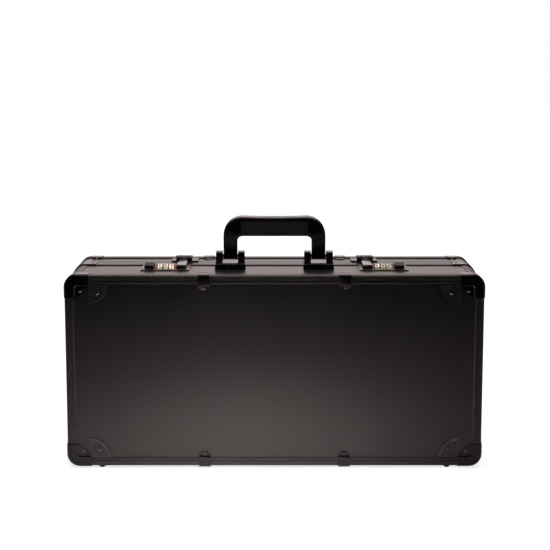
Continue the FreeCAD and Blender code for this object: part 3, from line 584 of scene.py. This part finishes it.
# ------------------------------------------------------------------ lid foam: convoluted pad
def build_foam():
    lo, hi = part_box("lid_foam")
    nx, nz = 231, 101
    px = 0.0231
    verts, faces = [], []
    x0, x1, z0, z1 = lo[0], hi[0], lo[2], hi[2]
    yb = hi[1]
    for j in range(nz + 1):
        for i in range(nx + 1):
            x = x0 + (x1 - x0) * i / nx
            z = z0 + (z1 - z0) * j / nz
            e = min(x - x0, x1 - x, z - z0, z1 - z)
            edge = min(e / 0.004, 1.0)
            w = 0.5 + 0.5 * math.sin(2 * math.pi * x / px) * math.sin(2 * math.pi * z / px)
            w = w * w * (3 - 2 * w)
            y = lo[1] + 0.0005 + 0.0085 * (1 - w) * edge + 0.0022 * (1 - math.sqrt(edge))
            y += 0.0003 * noise.noise(Vector((x * 90, z * 90, 0.3)))
            verts.append((x, max(y, lo[1]), z))
    n = len(verts)
    W1 = nx + 1
    for j in range(nz):
        for i in range(nx):
            a = j * W1 + i
            faces.append((a, a + 1, a + 1 + W1, a + W1))
    ring = [i for i in range(W1)] + [j * W1 + nx for j in range(1, nz + 1)] + [nz * W1 + i for i in range(nx - 1, -1, -1)] + [j * W1 for j in range(nz - 1, 0, -1)]
    for r in ring:
        v = verts[r]
        verts.append((v[0], yb, v[2]))
    m = len(ring)
    for i in range(m):
        a, b = ring[i], ring[(i + 1) % m]
        faces.append((a, b, n + (i + 1) % m, n + i))
    faces.append(tuple(n + i for i in range(m)))
    ob = make_obj("lid_foam_convoluted", verts, faces, M["foam"])
    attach(ob, "lid")
    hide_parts("lid_foam")
    return ob


build_foam()


def build_lining():
    lo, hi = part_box("base_lining")
    nx, nz = 170, 76
    verts, faces = [], []
    x0, x1, z0, z1 = lo[0], hi[0], lo[2], hi[2]
    W1 = nx + 1
    for j in range(nz + 1):
        for i in range(nx + 1):
            x = x0 + (x1 - x0) * i / nx
            z = z0 + (z1 - z0) * j / nz
            e = min(x - x0, x1 - x, z - z0, z1 - z)
            rim = min(e / 0.006, 1.0)
            seam = 0.0009 * math.exp(-((e - 0.012) / 0.0016) ** 2)
            y = hi[1] - 0.0022 * (1 - math.sqrt(max(0.0, 1 - (1 - rim) ** 2))) - seam
            y -= 0.0003 * (0.5 + noise.noise(Vector((x * 22, z * 22, 1.7))))
            verts.append((x, min(y, hi[1]), z))
    n = len(verts)
    for j in range(nz):
        for i in range(nx):
            a = j * W1 + i
            faces.append((a, a + W1, a + 1 + W1, a + 1))
    ring = [i for i in range(W1)] + [j * W1 + nx for j in range(1, nz + 1)] + [nz * W1 + i for i in range(nx - 1, -1, -1)] + [j * W1 for j in range(nz - 1, 0, -1)]
    for r in ring:
        v = verts[r]
        verts.append((v[0], lo[1], v[2]))
    m = len(ring)
    for i in range(m):
        a, b = ring[i], ring[(i + 1) % m]
        faces.append((a, n + i, n + (i + 1) % m, b))
    faces.append(tuple(n + i for i in range(m)))
    ob = make_obj("base_lining_felt", verts, faces, M["felt"])
    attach(ob, "base")
    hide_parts("base_lining")


build_lining()


# ------------------------------------------------------------------ stage
def plane(name, x0, x1, y0, y1, z, mat):
    me = bpy.data.meshes.new(name)
    me.from_pydata([(x0, y0, z), (x1, y0, z), (x1, y1, z), (x0, y1, z)], [], [(0, 1, 2, 3)])
    ob = bpy.data.objects.new(name, me)
    SC.collection.objects.link(ob)
    me.materials.append(mat)
    return ob


fm, fnt, fb, ftc = new_mat("floor_pale")
base_set(fb, rough=0.9, spec=0.1, tint=(1, 1, 1, 1))
fsx = fnt.nodes.new("ShaderNodeSeparateXYZ")
fnt.links.new(ftc.outputs["Object"], fsx.inputs[0])
painted_reflection_zone = remap(fnt, fsx.outputs["Y"], 0.75, 1.1, 0.0, 1.0)
fb.inputs["Emission Color"].default_value = (1, 1, 1, 1)
flp = fnt.nodes.new("ShaderNodeLightPath")
far = math_n(fnt, "MAXIMUM", remap(fnt, fsx.outputs["Y"], 0.6, 2.2, 0.8, 1.0), remap(fnt, math_n(fnt, "ABSOLUTE", fsx.outputs["X"]), 0.8, 1.8, 0.8, 1.0))
fnt.links.new(math_n(fnt, "MULTIPLY", flp.outputs["Is Camera Ray"], far), fb.inputs["Emission Strength"])
# Painted reflection: only for glossy rays, the floor 0.75 m to 1.1 m behind the case turns dark (0.06), so rounded
# edges and silhouettes show a painted dark reflection while camera and diffuse rays still see the pale floor.
painted_dark_reflection = math_n(fnt, "MULTIPLY", flp.outputs["Is Glossy Ray"], painted_reflection_zone)
fnt.links.new(mix_col(fnt, painted_dark_reflection, (0.93, 0.93, 0.93), (0.06, 0.052, 0.052)), fb.inputs["Base Color"])
plane("floor", -4.0, 4.0, -0.55, 7.0, 0.0, fm)

w = bpy.data.worlds.new("studio")
SC.world = w
w.use_nodes = True
nt = w.node_tree
nt.nodes.clear()
wo = nt.nodes.new("ShaderNodeOutputWorld")
tc = nt.nodes.new("ShaderNodeTexCoord")
sep = nt.nodes.new("ShaderNodeSeparateXYZ")
nt.links.new(tc.outputs["Generated"], sep.inputs[0])
mr = nt.nodes.new("ShaderNodeMapRange")
mr.interpolation_type = "SMOOTHSTEP"
mr.inputs["From Min"].default_value = 0.02
mr.inputs["From Max"].default_value = 0.80
mr.inputs["To Min"].default_value = 0.003
mr.inputs["To Max"].default_value = 1.6
nt.links.new(sep.outputs["Y"], mr.inputs["Value"])
mz = nt.nodes.new("ShaderNodeMapRange")
mz.interpolation_type = "SMOOTHSTEP"
mz.inputs["From Min"].default_value = 0.42
mz.inputs["From Max"].default_value = 0.80
mz.inputs["To Min"].default_value = 1.0
mz.inputs["To Max"].default_value = 0.12
nt.links.new(sep.outputs["Z"], mz.inputs["Value"])
bg1 = nt.nodes.new("ShaderNodeBackground")
bg1.inputs["Color"].default_value = (1.0, 0.88, 0.87, 1)
ml = nt.nodes.new("ShaderNodeMapRange")
ml.interpolation_type = "SMOOTHSTEP"
ml.inputs["From Min"].default_value = 0.05
ml.inputs["From Max"].default_value = 0.185
ml.inputs["To Min"].default_value = 0.12
ml.inputs["To Max"].default_value = 1.0
nt.links.new(sep.outputs["Z"], ml.inputs["Value"])
mxx = nt.nodes.new("ShaderNodeMapRange")
mxx.interpolation_type = "SMOOTHSTEP"
mxx.inputs["From Min"].default_value = 0.12
mxx.inputs["From Max"].default_value = 0.55
mxx.inputs["To Min"].default_value = 1.0
mxx.inputs["To Max"].default_value = 0.35
nt.links.new(math_n(nt, "ABSOLUTE", sep.outputs["X"]), mxx.inputs["Value"])
wz = math_n(nt, "MULTIPLY", mr.outputs["Result"], mz.outputs["Result"])
wz = math_n(nt, "MULTIPLY", wz, ml.outputs["Result"])
nt.links.new(math_n(nt, "MULTIPLY", wz, mxx.outputs["Result"]), bg1.inputs["Strength"])
bg2 = nt.nodes.new("ShaderNodeBackground")
bg2.inputs["Strength"].default_value = 1.0
bg2.inputs["Color"].default_value = (1, 1, 1, 1)
lp = nt.nodes.new("ShaderNodeLightPath")
mx = nt.nodes.new("ShaderNodeMixShader")
nt.links.new(lp.outputs["Is Camera Ray"], mx.inputs[0])
nt.links.new(bg1.outputs[0], mx.inputs[1])
nt.links.new(bg2.outputs[0], mx.inputs[2])
nt.links.new(mx.outputs[0], wo.inputs[0])


def area(name, loc, target, sx, sy, power, color=(1, 1, 1), spread=180.0):
    li = bpy.data.lights.new(name, "AREA")
    li.shape = "RECTANGLE"
    li.size = sx
    li.size_y = sy
    li.energy = power
    li.color = color
    li.spread = math.radians(spread)
    ob = bpy.data.objects.new(name, li)
    SC.collection.objects.link(ob)
    ob.location = loc
    d = Vector(target) - Vector(loc)
    ob.rotation_euler = d.to_track_quat("-Z", "Y").to_euler()
    ob.visible_camera = False
    return ob


top_box = area("softbox_top", (0, 0.02, 1.55), (0, 0.02, 0), 1.0, 0.62, 9.5)
pool = area("pool_front", (-0.045, -0.20, 1.3), (-0.045, -0.19, 0), 0.13, 0.2, 0.84, spread=29.0)
pool.visible_glossy = False

for sx in (-1, 1):
    side = area("fill_%s" % ("left" if sx < 0 else "right"), (sx * 1.5, 0.22, 0.35), (sx * 0.27, 0.05, 0.12), 0.9, 0.7, 1.0, (1, 0.9, 0.88))
    side.visible_camera = False

SC.view_settings.view_transform = "Standard"
SC.view_settings.look = "None"
SC.view_settings.exposure = 0.0
SC.view_settings.gamma = 1.0

# ------------------------------------------------------------------ camera
PITCH = 6.0
cam = bpy.data.cameras.new("camera")
co = bpy.data.objects.new("camera", cam)
SC.collection.objects.link(co)
F_PX = 980.9
cam.sensor_width = 36.0
cam.sensor_fit = "HORIZONTAL"
cam.lens = F_PX * 36.0 / 550.0
cam.shift_x = (275.0 - 274.45) / 550.0
cam.shift_y = -(275.0 - 153.33) / 550.0
co.location = (0.0, -1.2916, 0.5432)
co.rotation_euler = (math.radians(90.0 - PITCH), 0, 0)
cam.clip_start = 0.05
cam.clip_end = 50
SC.camera = co
